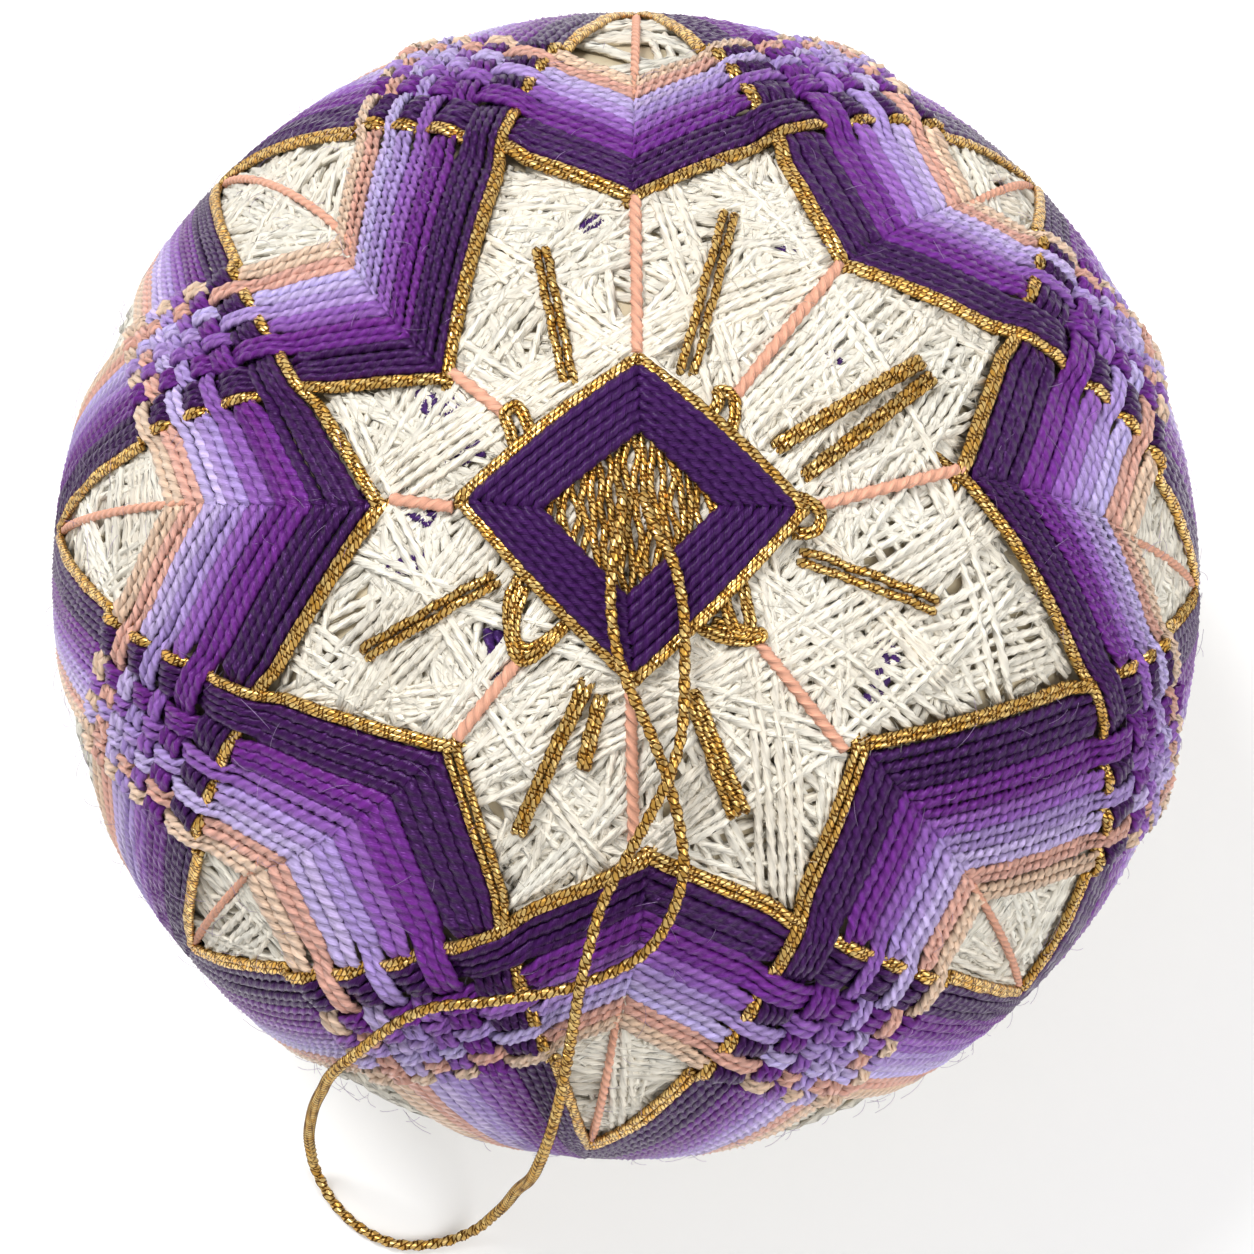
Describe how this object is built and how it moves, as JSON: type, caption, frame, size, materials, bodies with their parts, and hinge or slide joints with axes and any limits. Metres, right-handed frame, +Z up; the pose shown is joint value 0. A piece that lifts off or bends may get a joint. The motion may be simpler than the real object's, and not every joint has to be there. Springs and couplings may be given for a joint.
{
  "type": "temari ball with hanging loop",
  "caption": "Thread-wound temari ball with a woven star band, a stitched square at its pole, gold stitches and a gold hanging loop, resting on a small flat spot.",
  "frame": {"origin": "centre of the flat spot under the ball, on the surface it rests on", "axes": "+Z up through the decorated pole, -Y towards the side the hanging loop falls over"},
  "size_m": [0.082, 0.0876, 0.0821],
  "materials": {
    "cream_thread": "matte wound sewing thread",
    "band_thread": "soft twisted embroidery cotton, purple to peach",
    "square_thread": "soft twisted embroidery cotton, dark purple",
    "gold_thread": "metallic gold braid"
  },
  "bodies": {
    "root": {"wound_ball": "cream_thread", "star_band": "band_thread", "pole_square": "square_thread", "gold_stitch_1": "gold_thread", "gold_stitch_2": "gold_thread", "gold_stitch_3": "gold_thread", "gold_stitch_4": "gold_thread", "gold_stitch_5": "gold_thread", "gold_stitch_6": "gold_thread", "gold_stitch_7": "gold_thread", "gold_stitch_8": "gold_thread", "gold_stitch_9": "gold_thread", "hanging_loop": "gold_thread"}
  },
  "joints": []
}
